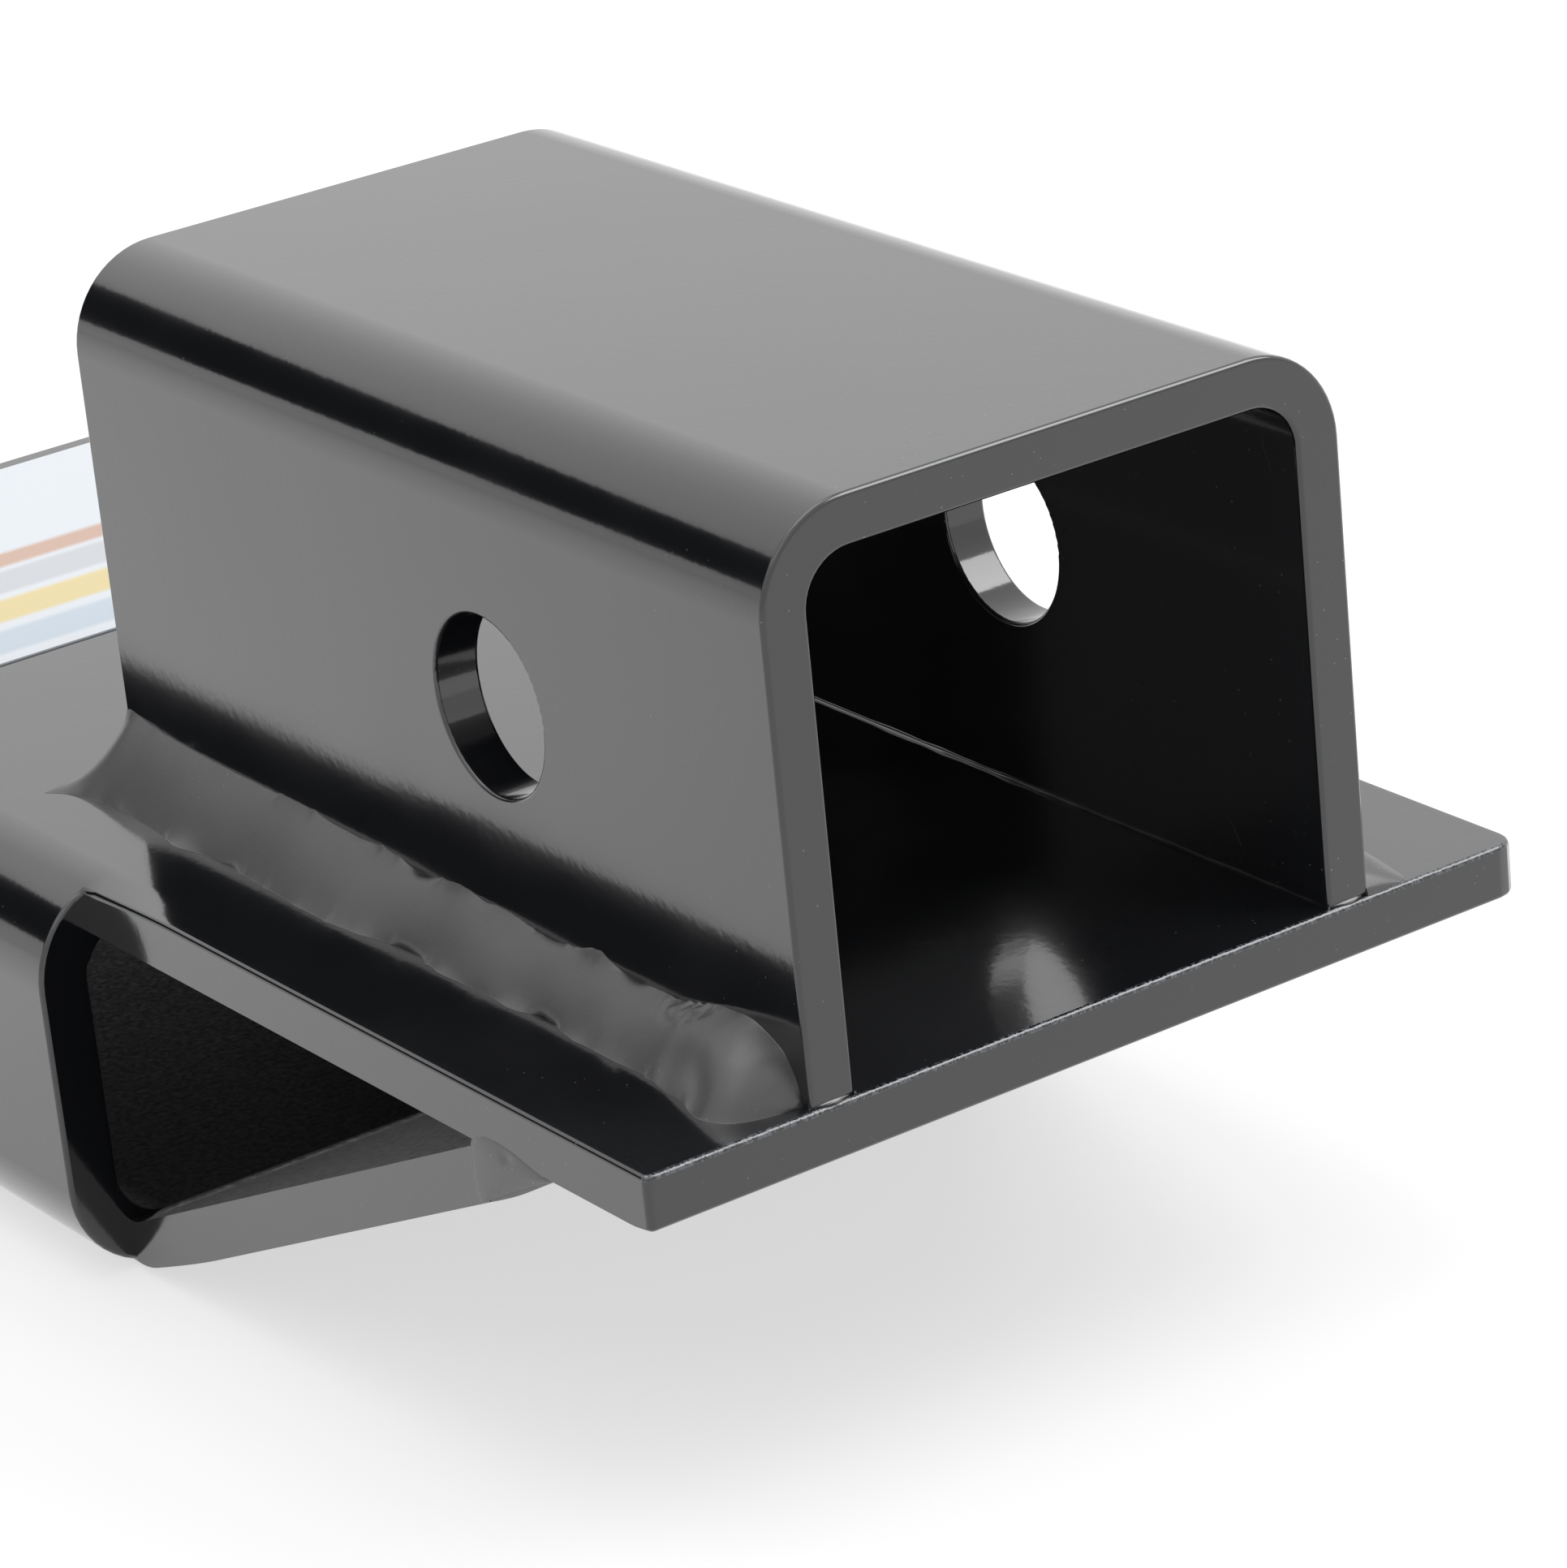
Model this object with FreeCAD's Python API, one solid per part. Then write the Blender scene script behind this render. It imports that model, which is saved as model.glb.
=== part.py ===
import FreeCAD, Part
import math
import os
from FreeCAD import Vector

# Forklift hitch adapter: a hitch receiver welded on the tongue of a sleeve that slides over a fork.
# Millimetres. X runs across, Y runs along the receiver, whose mouth faces -Y, and Z points up.
# The origin is under the middle of the whole part, on the surface that the sleeve stands on.

# Receiver channel, one plate bent into an upside-down U
socketWidth = 55.5
socketHeight = 51.0
receiverLength = 120.0
receiverWall = 5.0
receiverBendRadius = 5.0

# Pin hole through both walls of the receiver
pinHoleDiameter = 18.2
pinHoleSetback = 47.5
pinHoleHeight = 26.5
pinHoleEdgeRadius = 0.4

# Fork sleeve, one plate folded into a flat box
pocketWidth = 104.0
pocketHeight = 32.0
sleeveLength = 123.5
sleevePlate = 5.5
sleeveBendRadius = 5.0

# Tongue, the sleeve's top plate run forward of the box
tongueLength = 99.5
tongueInset = 6.25
mouthSetback = 0.5

# Ramp, the sleeve's bottom plate bent up to the tongue
rampAngle = 24.3
rampLand = 0.4
rampBendRadius = 5.0

# Fillet beads along the receiver
beadLeg = 5.8
beadRise = 5.2
beadBulge = 0.7
beadBlobLeg = 6.8
beadBlobRise = 7.0
beadBlobLength = 13.0
beadStart = 1.6
beadEndTaper = 4.0
beadTip = 1.2

# Bead under the nose, from the ramp's end forward along the tongue
noseBeadReach = 11.4

# Printed label on top of the sleeve
labelWidth = 84.0
labelLength = 59.0
labelThickness = 0.2
labelCornerRadius = 2.0
labelBackGap = 3.0

# Worked out from the sizes above
sleeveWidth = pocketWidth + 2 * sleevePlate
sleeveHeight = pocketHeight + 2 * sleevePlate
sleeveOuterRadius = sleeveBendRadius + sleevePlate
tongueWidth = sleeveWidth - 2 * tongueInset
receiverWidth = socketWidth + 2 * receiverWall
receiverOuterRadius = receiverBendRadius + receiverWall
totalLength = tongueLength + sleeveLength
frontY = -totalLength / 2
backY = totalLength / 2
boxFrontY = frontY + tongueLength
mouthY = frontY + mouthSetback
receiverBackY = mouthY + receiverLength
deckZ = sleeveHeight
tongueUnderZ = deckZ - sleevePlate
rampTurn = math.radians(rampAngle)
rampOuterRadius = rampBendRadius + sleevePlate
rampBendTop = Vector(0, boxFrontY - rampBendRadius * math.sin(rampTurn),
                     rampOuterRadius - rampBendRadius * math.cos(rampTurn))
rampTipY = rampBendTop.y - (tongueUnderZ - rampBendTop.z) / math.tan(rampTurn)
rampEndY = rampTipY - rampLand
rampLowBend = Vector(0, boxFrontY - rampOuterRadius * math.sin(rampTurn),
                     rampOuterRadius - rampOuterRadius * math.cos(rampTurn))
rampEndLowZ = rampLowBend.z + (rampLowBend.y - rampEndY) * math.tan(rampTurn)


def block(width, y0, y1, z0, z1):
    return Part.makeBox(width, y1 - y0, z1 - z0, Vector(-width / 2, y0, z0))


def roundEdgesAlongY(solid, radius, lowestZ):
    """Round the edges that run along Y and lie at or above a height."""
    edges = []
    for edge in solid.Edges:
        ends = [vertex.Point for vertex in edge.Vertexes]
        alongY = abs(ends[0].x - ends[1].x) < 1e-6 and abs(ends[0].z - ends[1].z) < 1e-6
        if alongY and ends[0].z >= lowestZ:
            edges.append(edge)
    return solid.makeFillet(radius, edges)


def extrudeAcross(edges, width):
    """Extrude a closed outline in the YZ plane to both sides of the middle."""
    face = Part.Face(Part.Wire(edges))
    face.translate(Vector(-width / 2, 0, 0))
    return face.extrude(Vector(width, 0, 0))


def receiverChannel():
    topZ = deckZ + socketHeight + receiverWall
    outside = block(receiverWidth, mouthY, receiverBackY, deckZ, topZ)
    outside = roundEdgesAlongY(outside, receiverOuterRadius, topZ)
    socket = block(socketWidth, mouthY, receiverBackY, deckZ, deckZ + socketHeight)
    socket = roundEdgesAlongY(socket, receiverBendRadius, deckZ + socketHeight)
    channel = outside.cut(socket)
    start = Vector(-receiverWidth, mouthY + pinHoleSetback, deckZ + pinHoleHeight)
    drill = Part.makeCylinder(pinHoleDiameter / 2, 2 * receiverWidth, start, Vector(1, 0, 0))
    channel = channel.cut(drill)
    rims = [edge for edge in channel.Edges if isHoleRim(edge)]
    return channel.makeFillet(pinHoleEdgeRadius, rims)


def isHoleRim(edge):
    if not isinstance(edge.Curve, Part.Circle):
        return False
    return abs(edge.Curve.Radius - pinHoleDiameter / 2) < 1e-6


def sleeveBox():
    outside = roundEdgesAlongY(block(sleeveWidth, boxFrontY, backY, 0, deckZ), sleeveOuterRadius, 0)
    pocket = block(pocketWidth, boxFrontY, backY, sleevePlate, tongueUnderZ)
    return outside.cut(roundEdgesAlongY(pocket, sleeveBendRadius, 0))


def tonguePlate():
    return block(tongueWidth, frontY, boxFrontY, tongueUnderZ, deckZ)


def rampPlate():
    """Side outline of the ramp: a bend at the front of the box, then straight up to the tongue."""
    centre = Vector(0, boxFrontY, rampOuterRadius)

    def onBend(radius, share):
        turn = rampTurn * share
        return centre + Vector(0, -radius * math.sin(turn), -radius * math.cos(turn))

    lowEnd = Vector(0, rampEndY, rampEndLowZ)
    highEnd = Vector(0, rampEndY, tongueUnderZ)
    tip = Vector(0, rampTipY, tongueUnderZ)
    outline = [Part.Arc(onBend(rampOuterRadius, 0), onBend(rampOuterRadius, 0.5), rampLowBend),
               Part.LineSegment(rampLowBend, lowEnd), Part.LineSegment(lowEnd, highEnd),
               Part.LineSegment(highEnd, tip), Part.LineSegment(tip, rampBendTop),
               Part.Arc(rampBendTop, onBend(rampBendRadius, 0.5), onBend(rampBendRadius, 0)),
               Part.LineSegment(onBend(rampBendRadius, 0), onBend(rampOuterRadius, 0))]
    return extrudeAcross([curve.toShape() for curve in outline], tongueWidth)


def forkSleeve():
    return sleeveBox().fuse([tonguePlate(), rampPlate()]).removeSplitter()


def beadSection(side, y, leg, rise):
    """Two legs in the corner and a bulged face between them."""
    wallX = side * receiverWidth / 2
    root = Vector(wallX, y, deckZ)
    toe = Vector(wallX + side * leg, y, deckZ)
    crown = Vector(wallX, y, deckZ + rise)
    outward = Vector(side * rise, 0, leg).normalize() * beadBulge
    middle = (toe + crown) * 0.5 + outward
    edges = [Part.LineSegment(root, toe).toShape(), Part.Arc(toe, middle, crown).toShape(),
             Part.LineSegment(crown, root).toShape()]
    return Part.Wire(edges)


def sideBead(side):
    stations = [(mouthY + beadStart, beadTip, beadTip),
                (mouthY + beadStart + beadTip, beadLeg, beadRise),
                (mouthY + beadStart + beadEndTaper, beadBlobLeg, beadBlobRise),
                (mouthY + beadBlobLength, beadBlobLeg, beadRise),
                (mouthY + beadBlobLength + beadEndTaper, beadLeg, beadRise),
                (receiverBackY - beadEndTaper, beadLeg, beadRise),
                (receiverBackY, beadBlobLeg, beadRise),
                (receiverBackY + beadTip, beadLeg, beadTip)]
    return Part.makeLoft([beadSection(side, *station) for station in stations], True, True)


def noseBead():
    """A wedge that carries the ramp's underside on to the underside of the tongue."""
    corners = [Vector(0, rampEndY, tongueUnderZ), Vector(0, rampEndY - noseBeadReach, tongueUnderZ),
               Vector(0, rampEndY, rampEndLowZ)]
    edges = Part.makePolygon(corners + corners[:1]).Edges
    return extrudeAcross(edges, tongueWidth)


def topLabel():
    y1 = backY - labelBackGap
    sheet = block(labelWidth, y1 - labelLength, y1, deckZ, deckZ + labelThickness)
    corners = []
    for edge in sheet.Edges:
        if abs(edge.Vertexes[0].Z - edge.Vertexes[1].Z) > labelThickness / 2:
            corners.append(edge)
    return sheet.makeFillet(labelCornerRadius, corners)


def main():
    nodes = {
        "receiver_channel": receiverChannel(),
        "fork_sleeve": forkSleeve(),
        "left_weld": sideBead(-1),
        "right_weld": sideBead(1),
        "nose_weld": noseBead(),
        "label": topLabel(),
    }
    os.makedirs("parts", exist_ok=True)
    for name, shape in nodes.items():
        solid = shape.Solids[0] if len(shape.Solids) == 1 else shape
        solid.exportStep("parts/" + name + ".step")
        print(name, len(shape.Solids), "solid,", round(solid.Volume / 1000, 2), "cm3, valid", solid.isValid())


main()
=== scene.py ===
import bpy
import bmesh
import math
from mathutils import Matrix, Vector, noise


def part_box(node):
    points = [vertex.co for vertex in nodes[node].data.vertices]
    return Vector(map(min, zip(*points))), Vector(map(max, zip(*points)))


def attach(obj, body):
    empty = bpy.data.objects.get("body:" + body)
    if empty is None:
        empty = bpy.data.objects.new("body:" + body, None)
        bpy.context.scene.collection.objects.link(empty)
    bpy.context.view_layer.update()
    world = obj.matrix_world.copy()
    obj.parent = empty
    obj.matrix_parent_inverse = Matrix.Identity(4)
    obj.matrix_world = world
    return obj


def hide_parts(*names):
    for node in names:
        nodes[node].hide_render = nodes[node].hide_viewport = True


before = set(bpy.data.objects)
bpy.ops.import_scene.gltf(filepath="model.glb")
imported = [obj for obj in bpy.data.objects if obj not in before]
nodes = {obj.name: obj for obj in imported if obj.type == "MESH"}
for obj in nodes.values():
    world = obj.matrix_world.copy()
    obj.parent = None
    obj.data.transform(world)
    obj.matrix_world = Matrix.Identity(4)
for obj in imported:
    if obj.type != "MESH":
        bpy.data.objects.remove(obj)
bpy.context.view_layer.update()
mm = 0.001

receiverLow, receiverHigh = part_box("receiver_channel")
sleeveLow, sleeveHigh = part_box("fork_sleeve")
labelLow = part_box("label")[0]
deckZ = receiverLow.z    # top of the tongue, which the receiver stands on
hair = 0.01 * mm         # points nearer than this count as one
slack = 0.05 * mm        # room for rounding in a comparison
noiseLow, noiseHigh = 0.3, 0.7    # nearly all of a noise texture's values lie between these
print("frame loaded, deck at", round(deckZ / mm, 1), "mm")


def linear(hexColour):
    # sRGB hex to the linear colour that a shader socket takes
    values = []
    for start in (1, 3, 5):
        c = int(hexColour[start:start + 2], 16) / 255
        values.append(c / 12.92 if c <= 0.04045 else ((c + 0.055) / 1.055) ** 2.4)
    return (*values, 1.0)


def addNode(tree, kind, inputs=None, **settings):
    # one node with its settings, and its inputs set or linked
    node = tree.nodes.new(kind)
    for key, value in settings.items():
        setattr(node, key, value)
    for key, value in (inputs or {}).items():
        if isinstance(value, bpy.types.NodeSocket):
            tree.links.new(value, node.inputs[key])
        else:
            node.inputs[key].default_value = value
    return node


def patternScale(sizeMm):
    # a pattern's scale from its real size
    return 1 / (sizeMm * mm)


def newMaterial(name):
    material = bpy.data.materials.new(name)
    material.use_nodes = True
    material.node_tree.nodes.clear()
    return material, material.node_tree


# Camera, solved from the photograph with the part's own sizes
camera = {
    "place": (-0.32299, -0.54912, 0.28368),
    "turn": (68.204, 5.362, -35.717),    # degrees about X, Y and Z
    "lens": 148.32,
    "sensor": 36.0,
    "clip": (0.01, 30.0),
}


def makeCamera():
    data = bpy.data.cameras.new("camera")
    data.lens = camera["lens"]
    data.sensor_width = camera["sensor"]
    data.clip_start, data.clip_end = camera["clip"]
    body = bpy.data.objects.new("camera", data)
    body.location = camera["place"]
    body.rotation_euler = [math.radians(angle) for angle in camera["turn"]]
    bpy.context.scene.collection.objects.link(body)
    bpy.context.scene.camera = body


# A white studio: pale floor, white surroundings, soft boxes and one dark card for the gloss to mirror
studio = {
    "floorSize": 9.0,
    "floorColour": "#c2c2c3",
    "floorWhite": 0.62,          # light of its own that only the eye sees, so the shadow stays
    "floorMirror": 0.52,         # and what mirrors see of it
    "worldColour": "#ffffff",
    "worldFill": 0.48,
    "mirrorLow": 0.86,           # white of the surroundings in the gloss, near the horizon
    "mirrorHigh": 1.02,          # and higher up
    "mirrorRise": (0.25, 0.5),   # between these heights of the mirrored direction, 1 being straight up
    "boxes": [
        {"name": "key_box", "azimuth": 126, "elevation": 47, "distance": 1.6,
         "size": (0.9, 0.8), "glow": 4.5},
        {"name": "top_box", "azimuth": -20, "elevation": 80, "distance": 1.5,
         "size": (1.2, 1.2), "glow": 1.3},
        {"name": "left_box", "azimuth": -110, "elevation": 50, "distance": 1.6,
         "size": (1.0, 0.8), "glow": 0.6},
    ],
    "card": {"azimuth": -32, "elevation": 19, "distance": 1.1, "size": (1.0, 0.42),
             "colour": "#050505"},
}


def studioPoint(azimuth, elevation, distance):
    a, e = math.radians(azimuth), math.radians(elevation)
    away = Vector((math.sin(a) * math.cos(e), math.cos(a) * math.cos(e), math.sin(e)))
    return Vector((0, 0, deckZ)) + away * distance, away


def makeFloor():
    # painted board, even and without gloss; its own light reaches only the eye and mirrors
    material, tree = newMaterial("matt_white_floor")
    ray = addNode(tree, "ShaderNodeLightPath").outputs
    mirrored = addNode(tree, "ShaderNodeMath", {0: ray["Is Glossy Ray"], 1: ray["Is Transmission Ray"]},
                       operation="MAXIMUM")
    inGloss = addNode(tree, "ShaderNodeMath", {0: mirrored.outputs[0], 1: studio["floorMirror"]},
                      operation="MULTIPLY")
    white = addNode(tree, "ShaderNodeMath", {0: ray["Is Camera Ray"], 1: studio["floorWhite"],
            2: inGloss.outputs[0]}, operation="MULTIPLY_ADD")
    paint = addNode(tree, "ShaderNodeBsdfDiffuse", {"Color": linear(studio["floorColour"])})
    glow = addNode(tree, "ShaderNodeEmission", {"Strength": white.outputs[0]})
    both = addNode(tree, "ShaderNodeAddShader", {0: paint.outputs[0], 1: glow.outputs[0]})
    addNode(tree, "ShaderNodeOutputMaterial", {"Surface": both.outputs[0]})
    half = studio["floorSize"] / 2
    mesh = bpy.data.meshes.new("floor")
    mesh.from_pydata([(-half, -half, 0), (half, -half, 0), (half, half, 0), (-half, half, 0)], [],
                     [(0, 1, 2, 3)])
    mesh.materials.append(material)
    floor = bpy.data.objects.new("floor", mesh)
    bpy.context.scene.collection.objects.link(floor)
    return floor


def makeRoom():
    # white where the eye, a mirror or glass sees it, and only a soft fill for everything else
    world = bpy.data.worlds.new("white_room")
    world.use_nodes = True
    bpy.context.scene.world = world
    tree = world.node_tree
    tree.nodes.clear()
    ray = addNode(tree, "ShaderNodeLightPath").outputs
    seen = addNode(tree, "ShaderNodeMath", {0: ray["Is Camera Ray"], 1: ray["Is Glossy Ray"]},
                   operation="ADD")
    seenAll = addNode(tree, "ShaderNodeMath", {0: seen.outputs[0], 1: ray["Is Transmission Ray"]},
                      operation="ADD", use_clamp=True)
    towards = addNode(tree, "ShaderNodeTexCoord").outputs["Generated"]
    upward = addNode(tree, "ShaderNodeSeparateXYZ", {0: towards}).outputs[2]
    low, high = studio["mirrorRise"]
    mirrorWhite = addNode(tree, "ShaderNodeMapRange", {"Value": upward, "From Min": low, "From Max": high,
            "To Min": studio["mirrorLow"],
            "To Max": studio["mirrorHigh"]})
    strength = addNode(tree, "ShaderNodeMapRange",
                       {"Value": seenAll.outputs[0], "To Min": studio["worldFill"],
                        "To Max": mirrorWhite.outputs[0]})
    room = addNode(tree, "ShaderNodeBackground",
                   {"Color": linear(studio["worldColour"]), "Strength": strength.outputs[0]})
    addNode(tree, "ShaderNodeOutputWorld", {"Surface": room.outputs[0]})


def makeLamps():
    for box in studio["boxes"]:
        light = bpy.data.lights.new(box["name"], "AREA")
        light.shape = "RECTANGLE"
        light.size, light.size_y = box["size"]
        light.energy = box["glow"] * math.pi * box["size"][0] * box["size"][1]    # watts
        lamp = bpy.data.objects.new(box["name"], light)
        lamp.location, away = studioPoint(box["azimuth"], box["elevation"], box["distance"])
        lamp.rotation_euler = away.to_track_quat("Z", "Y").to_euler()
        lamp.visible_camera = False
        bpy.context.scene.collection.objects.link(lamp)


def makeCard():
    # matt black board, a plain dark shape in the gloss
    card = studio["card"]
    material, tree = newMaterial("black_card")
    paint = addNode(tree, "ShaderNodeBsdfDiffuse", {"Color": linear(card["colour"])})
    addNode(tree, "ShaderNodeOutputMaterial", {"Surface": paint.outputs[0]})
    place, away = studioPoint(card["azimuth"], card["elevation"], card["distance"])
    across = away.cross(Vector((0, 0, 1))).normalized() * card["size"][0] / 2
    upward = Vector((0, 0, 1)) * card["size"][1] / 2
    mesh = bpy.data.meshes.new("card")
    mesh.from_pydata([place - across - upward, place + across - upward, place + across + upward,
                      place - across + upward], [], [(0, 1, 2, 3)])
    mesh.materials.append(material)
    board = bpy.data.objects.new("card", mesh)
    bpy.context.scene.collection.objects.link(board)
    board.visible_camera = False
    board.visible_shadow = False
    board.visible_diffuse = False
    return board


def makeStudio():
    floor = makeFloor()
    makeRoom()
    makeLamps()
    board = makeCard()


# Dust and lint on the coats
dust = {
    "patchMm": 16.667,       # the specks lie in loose patches of this size
    "dense": (0.55, 0.75),   # patch noise at which specks start, and are all there
    "frontMm": 45.0,         # they lie denser over this length behind the mouth
    "frontMore": 0.16,
    "lintMm": 20.0,          # distance between the lint marks
    "lintWidth": 0.0018,     # share of that distance
    "lintCurlMm": 6.667,
    "lintPush": 6.0,         # mm that a curl bends a mark
    "lintPatchMm": 9.091,
    "lintDense": (0.6, 0.68),
    "lintShare": 0.3,
    "innerHalf": 27.8,       # mm from the middle to the receiver's inner walls
    "roof": 4.9,             # mm of plate above them
}


def addDust(tree, place, ground, settings):
    # pale dust specks in loose patches, more of them towards the mouth
    cell = addNode(tree, "ShaderNodeTexVoronoi", {"Vector": place, "Scale": patternScale(settings["dustMm"])})
    patch = addNode(tree, "ShaderNodeTexNoise", {"Vector": place, "Scale": patternScale(dust["patchMm"]),
            "Detail": 3.0})
    speck = addNode(tree, "ShaderNodeMath", {0: cell.outputs["Distance"], 1: settings["dustRadius"]},
                    operation="LESS_THAN")
    along = addNode(tree, "ShaderNodeSeparateXYZ", {0: place}).outputs[1]
    front = addNode(tree, "ShaderNodeMapRange", {"Value": along,
            "From Min": receiverLow.y + dust["frontMm"] * mm,
            "From Max": receiverLow.y, "To Min": 0.0,
            "To Max": dust["frontMore"]})
    dense = addNode(tree, "ShaderNodeMath", {0: patch.outputs[0], 1: front.outputs[0]}, operation="ADD")
    low, high = dust["dense"]
    where = addNode(tree, "ShaderNodeMapRange", {"Value": dense.outputs[0], "From Min": low, "From Max": high})
    share = addNode(tree, "ShaderNodeMath", {0: speck.outputs[0], 1: where.outputs[0]},
                    operation="MULTIPLY")
    mix = addNode(tree, "ShaderNodeMix", {0: share.outputs[0], 6: ground,
            7: linear(settings["dustColour"])}, data_type="RGBA")
    return mix.outputs[2]


def addLint(tree, place, ground, settings):
    # short curled lint marks, only on the faces inside the receiver
    bend = addNode(tree, "ShaderNodeTexNoise", {"Vector": place, "Scale": patternScale(dust["lintCurlMm"]),
            "Detail": 1.0})
    pushed = addNode(tree, "ShaderNodeVectorMath", {0: bend.outputs["Color"],
            "Scale": dust["lintPush"] * mm}, operation="SCALE")
    bent = addNode(tree, "ShaderNodeVectorMath", {0: place, 1: pushed.outputs[0]}, operation="ADD")
    cells = addNode(tree, "ShaderNodeTexVoronoi", {"Vector": bent.outputs[0],
            "Scale": patternScale(dust["lintMm"])},
                    feature="DISTANCE_TO_EDGE")
    line = addNode(tree, "ShaderNodeMath", {0: cells.outputs["Distance"], 1: dust["lintWidth"]},
                   operation="LESS_THAN")
    patch = addNode(tree, "ShaderNodeTexNoise", {"Vector": place, "Scale": patternScale(dust["lintPatchMm"]),
            "Detail": 2.0})
    low, high = dust["lintDense"]
    where = addNode(tree, "ShaderNodeMapRange", {"Value": patch.outputs[0], "From Min": low,
            "From Max": high, "To Max": dust["lintShare"]})
    across = addNode(tree, "ShaderNodeSeparateXYZ", {0: place})
    fromMiddle = addNode(tree, "ShaderNodeMath", {0: across.outputs[0]}, operation="ABSOLUTE")
    inside = addNode(tree, "ShaderNodeMath", {0: fromMiddle.outputs[0], 1: dust["innerHalf"] * mm},
                     operation="LESS_THAN")
    below = addNode(tree, "ShaderNodeMath", {0: across.outputs[2], 1: receiverHigh.z - dust["roof"] * mm},
                    operation="LESS_THAN")
    room = addNode(tree, "ShaderNodeMath", {0: inside.outputs[0], 1: below.outputs[0]},
                   operation="MULTIPLY")
    marked = addNode(tree, "ShaderNodeMath", {0: line.outputs[0], 1: where.outputs[0]},
                     operation="MULTIPLY")
    share = addNode(tree, "ShaderNodeMath", {0: marked.outputs[0], 1: room.outputs[0]},
                    operation="MULTIPLY")
    mix = addNode(tree, "ShaderNodeMix", {0: share.outputs[0], 6: ground,
            7: linear(settings["dustColour"])}, data_type="RGBA")
    return mix.outputs[2]


# Gloss black polyester powder coat, sprayed and baked over plain steel:
# deep black and mirror-like, with a fine orange peel
powderCoat = {
    "colour": "#1b1c1f",
    "dustColour": "#7d7d7b",
    "roughLow": 0.11,
    "roughHigh": 0.17,
    "coatRoughness": 0.08,
    "peelMm": 1.1,
    "peelHeight": 0.006,         # mm
    "waveMm": 14.0,
    "waveHeight": 0.016,
    "edgeMm": 0.3,               # the coat pulls thin and uneven over cut edges; this grit also sets the painted highlight's speckles
    "edgeHeight": 0.04,
    "edgeHighlightColour": "#8b93a0",     # painted highlight: pale speckles along the sharp edge, for the light it catches
    "edgeHighlightShare": 0.4,
    "edgeHighlightOnset": (0.45, 0.6),     # grit noise at which that starts, and is full
    "dustMm": 1.4,
    "dustRadius": 0.06,
}


def makePowderCoat():
    settings = powderCoat
    material, tree = newMaterial("gloss_black_powder_coat")
    place = addNode(tree, "ShaderNodeTexCoord").outputs["Object"]
    peel = addNode(tree, "ShaderNodeTexNoise", {"Vector": place, "Scale": patternScale(settings["peelMm"]),
            "Detail": 2.0})
    wave = addNode(tree, "ShaderNodeTexNoise", {"Vector": place, "Scale": patternScale(settings["waveMm"]),
            "Detail": 1.0})
    grit = addNode(tree, "ShaderNodeTexNoise", {"Vector": place, "Scale": patternScale(settings["edgeMm"]),
            "Detail": 2.0})
    edge = addNode(tree, "ShaderNodeAttribute", attribute_name="edge").outputs["Fac"]
    atEdge = addNode(tree, "ShaderNodeMath", {0: grit.outputs[0], 1: edge}, operation="MULTIPLY")
    low = addNode(tree, "ShaderNodeBump", {"Height": wave.outputs[0], "Strength": 1.0,
            "Distance": settings["waveHeight"] * mm})
    rim = addNode(tree, "ShaderNodeBump", {"Height": atEdge.outputs[0], "Strength": 1.0,
            "Distance": settings["edgeHeight"] * mm,
            "Normal": low.outputs[0]})
    bump = addNode(tree, "ShaderNodeBump", {"Height": peel.outputs[0], "Strength": 1.0,
            "Distance": settings["peelHeight"] * mm,
            "Normal": rim.outputs[0]})
    rough = addNode(tree, "ShaderNodeMapRange", {"Value": wave.outputs[0], "From Min": noiseLow,
            "From Max": noiseHigh, "To Min": settings["roughLow"],
            "To Max": settings["roughHigh"]})
    # painted highlight: the front edge's grit turns pale in speckles, standing in for light on the edge
    start, full = settings["edgeHighlightOnset"]
    thin = addNode(tree, "ShaderNodeMapRange", {"Value": atEdge.outputs[0], "From Min": start,
            "From Max": full, "To Max": settings["edgeHighlightShare"]})
    ground = addNode(tree, "ShaderNodeMix", {0: thin.outputs[0], 6: linear(settings["colour"]),
            7: linear(settings["edgeHighlightColour"])}, data_type="RGBA")
    dusty = addDust(tree, place, ground.outputs[2], settings)
    shader = addNode(tree, "ShaderNodeBsdfPrincipled", {
        "Base Color": addLint(tree, place, dusty, settings), "Roughness": rough.outputs[0],
        "IOR": 1.5, "Coat Weight": 1.0, "Coat Roughness": settings["coatRoughness"], "Coat IOR": 1.5,
        "Normal": bump.outputs[0], "Coat Normal": bump.outputs[0]})
    addNode(tree, "ShaderNodeOutputMaterial", {"Surface": shader.outputs[0]})
    return material


# The same coat over weld metal: satin and faintly grainy, because the frozen bead shows through it
weldCoat = {
    # grey, lighter than the black coat: partly the duller coat over the weld, partly painted sheen for the
    # satin shine it catches
    "colour": "#464647",
    "dustColour": "#b9b9b6",
    "roughness": 0.55,
    "coatRoughness": 0.36,
    "blobRoughness": 0.42,      # the front end froze smooth and shines
    "blobLengthMm": 24.0,       # over this length behind the mouth it turns dull
    "grainMm": 0.45,
    "grainHeight": 0.012,
    "lumpMm": 2.6,
    "lumpHeight": 0.02,
    "dustMm": 0.9,
    "dustRadius": 0.07,
}


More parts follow.
